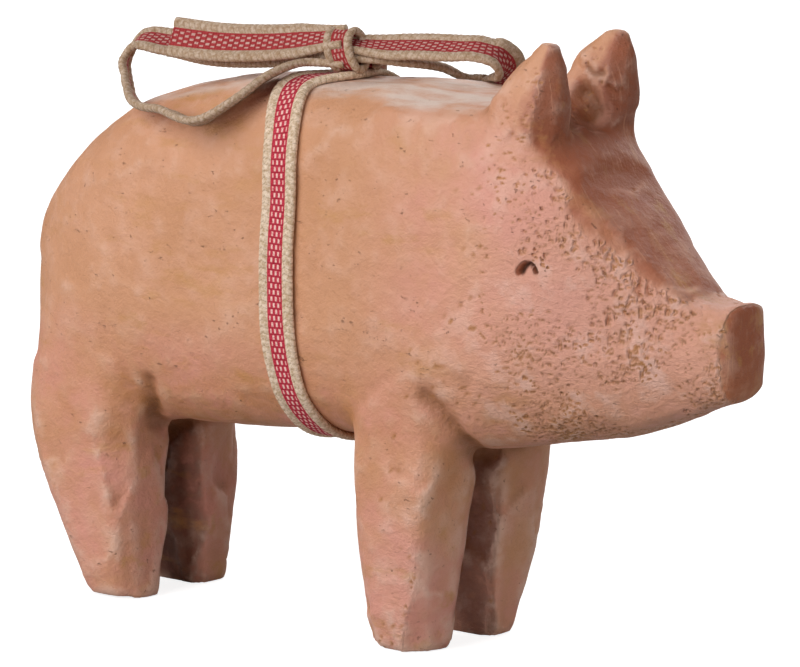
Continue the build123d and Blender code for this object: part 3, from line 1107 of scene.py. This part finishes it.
# Bow: lines from its base on the back, with the turn and the roll of the ribbon's width in degrees
knot_low, knot_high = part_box("ribbon_knot")
bow_base = np.array([(knot_low.x + knot_high.x) / 2 / MM, 0.0, knot_low.z / MM])
knot_centre = np.array((knot_low + knot_high) / 2) / MM
GATHERED_SHARE = 0.56
GATHER_LENGTH = 12.0
BOW_LINES = {
    "rear_loop": [
        (0, -2, 5.6, 95, 25), (-21, -1.5, 2.2, 95, 28), (-39, -4, 1.3, 97, 28), (-52, -6.5, 2.8, 104, 26),
        (-59.5, -8.5, 2.6, 112, 16), (-61.8, -10.5, -2.2, 122, 2), (-59, -12.7, -7.3, 130, -8),
        (-54.5, -15.5, -9.9, 131, -10), (-38.9, -22, -10.9, 131, -10), (-23.6, -25, -10.3, 131, -10),
        (-16.5, -21, -5.2, 131, -10), (-13.3, -14, -0.6, 131, -10), (-9.5, -6, 1.9, 125, -5),
        (0, -2, 2.6, 110, 10),
    ],
    "front_loop": [
        (0, -1.5, 6.6, 104, 25), (8, 2.5, 6.2, 104, 26), (18, 5, 6.8, 104, 26), (26, 7, 7.0, 103, 26),
        (31, 8.5, 7.2, 102, 22), (34, 11, 6.0, 101, 12), (34, 14.5, 3.6, 101, 0),
        (31, 18.3, 0.4, 102, -14), (26.5, 21, -2.4, 102, -22), (21, 19.8, -2.6, 103, -22),
        (15.5, 13.8, 0.8, 104, -14), (9, 6, 3.1, 104, 0), (0, -1, 4, 105, 10),
    ],
    "rear_tail": [
        (0, -3, 8.4, 100, 42), (-18.7, -8.5, 5.8, 105, 50), (-31.6, -11.5, 5.1, 103, 56),
        (-43.8, -14, 5.5, 102, 62),
    ],
    "front_tail": [
        (1.6, 2.4, 1.1, 215, 0), (-5, 10.5, 1.2, 210, 0), (-11, 17.5, -2.2, 202, 0),
        (-15, 23.4, -9.4, 192, 0), (-16.5, 26.8, -19, 186, 0),
    ],
}
for part, bends in BOW_LINES.items():
    route = flowing(bends, ROW_STEP)
    line = bow_base + route[:, :3]
    turn, roll = np.radians(route[:, 3:]).T
    wide = np.stack([np.cos(turn) * np.cos(roll), np.sin(turn) * np.cos(roll), np.sin(roll)], axis=1)
    opened = np.minimum(1, np.linalg.norm(line - knot_centre, axis=1) / GATHER_LENGTH)
    share = GATHERED_SHARE + opened * (1 - GATHERED_SHARE)
    strips[f"ribbon_{part}"] = woven_strip(f"woven_{part}", line, wide, share)

# Knot: one turn of the ribbon round the roots of the loops
KNOT_ROWS = 110
KNOT_LEAN = radians(20)
KNOT_SET_BACK = 1.2
knot_turn = np.linspace(0, 2 * pi, KNOT_ROWS, endpoint=False)
knot_half = np.array((knot_high - knot_low) / 2) / MM - EDGE_THICKNESS / 2
knot_line = knot_centre + np.stack([
    -KNOT_SET_BACK * np.sin(knot_turn),
    knot_half[1] * np.cos(knot_turn),
    knot_half[2] * np.sin(knot_turn),
], axis=1)
knot_wide = np.tile([cos(KNOT_LEAN), sin(KNOT_LEAN), 0.0], (KNOT_ROWS, 1))
knot_share = np.full(KNOT_ROWS, (knot_high.x - knot_low.x) / MM / RIBBON_WIDTH)
strips["ribbon_knot"] = woven_strip("woven_knot", knot_line, knot_wide, knot_share, closed=True)

for node, (piece, length) in strips.items():
    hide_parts(node)
    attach(piece, "root")


# Stage: a floor and a world that the camera sees as white, and soft lamps
WORLD_LEVEL = 0.08
FLOOR_EDGE = 6.0
FLOOR_DROP = 0.0002
FLOOR_GREY = (0.45, 0.45, 0.45, 1.0)
FLOOR_SEEN = 0.85
WHITE = (1.0, 1.0, 1.0, 1.0)

scene = bpy.context.scene
world = bpy.data.worlds.new("studio")
world.use_nodes = True
scene.world = world
backdrop = world.node_tree.nodes["Background"]
backdrop.inputs["Color"].default_value = WHITE
light_path = world.node_tree.nodes.new("ShaderNodeLightPath")
level = world.node_tree.nodes.new("ShaderNodeMapRange")
world.node_tree.links.new(light_path.outputs["Is Camera Ray"], level.inputs[0])
level.inputs[3].default_value = WORLD_LEVEL
level.inputs[4].default_value = 1.0
world.node_tree.links.new(level.outputs[0], backdrop.inputs["Strength"])

half = FLOOR_EDGE / 2
floor_corners = [(-half, -half, 0), (half, -half, 0), (half, half, 0), (-half, half, 0)]
floor_mesh = bpy.data.meshes.new("floor")
floor_mesh.from_pydata(floor_corners, [], [(0, 1, 2, 3)])
floor = bpy.data.objects.new("floor", floor_mesh)
bpy.context.collection.objects.link(floor)
floor.location.z = cad_box[0][2] - FLOOR_DROP
floor_paint = Shading("floor")
floor_paint.surface.inputs["Base Color"].default_value = FLOOR_GREY
floor_paint.surface.inputs["Roughness"].default_value = 0.9
floor_paint.surface.inputs["Emission Color"].default_value = WHITE
camera_ray = floor_paint.node("ShaderNodeLightPath").outputs["Is Camera Ray"]
floor_paint.put(floor_paint.surface.inputs["Emission Strength"], floor_paint.times(camera_ray, FLOOR_SEEN))
floor_mesh.materials.append(floor_paint.material)


def area_lamp(name, azimuth, elevation, distance, size, power):
    """Square soft lamp, aimed at the figure from a direction given as for the camera."""
    lamp = bpy.data.lights.new(name, "AREA")
    lamp.size = size
    lamp.energy = power
    holder = bpy.data.objects.new(name, lamp)
    bpy.context.collection.objects.link(holder)
    a = radians(azimuth)
    e = radians(elevation)
    away = Vector((sin(a) * cos(e), -cos(a) * cos(e), sin(e)))
    holder.location = CAMERA_TARGET + distance * away
    holder.rotation_euler = away.to_track_quat("Z", "Y").to_euler()


area_lamp("key", azimuth=-15, elevation=31, distance=1.6, size=1.6, power=28.0)
area_lamp("front", azimuth=80, elevation=20, distance=1.6, size=0.8, power=5.2)
area_lamp("behind", azimuth=195, elevation=30, distance=1.6, size=1.6, power=17.0)

camera_data = bpy.data.cameras.new("camera")
camera_data.lens = LENS_MM
camera_data.sensor_width = SENSOR_MM
camera_data.sensor_fit = "HORIZONTAL"
camera_data.clip_end = 20.0
camera = bpy.data.objects.new("camera", camera_data)
bpy.context.collection.objects.link(camera)
camera.location = camera_place
camera.rotation_euler = toward_camera.to_track_quat("Z", "Y").to_euler()
scene.camera = camera
scene.view_settings.view_transform = "Standard"
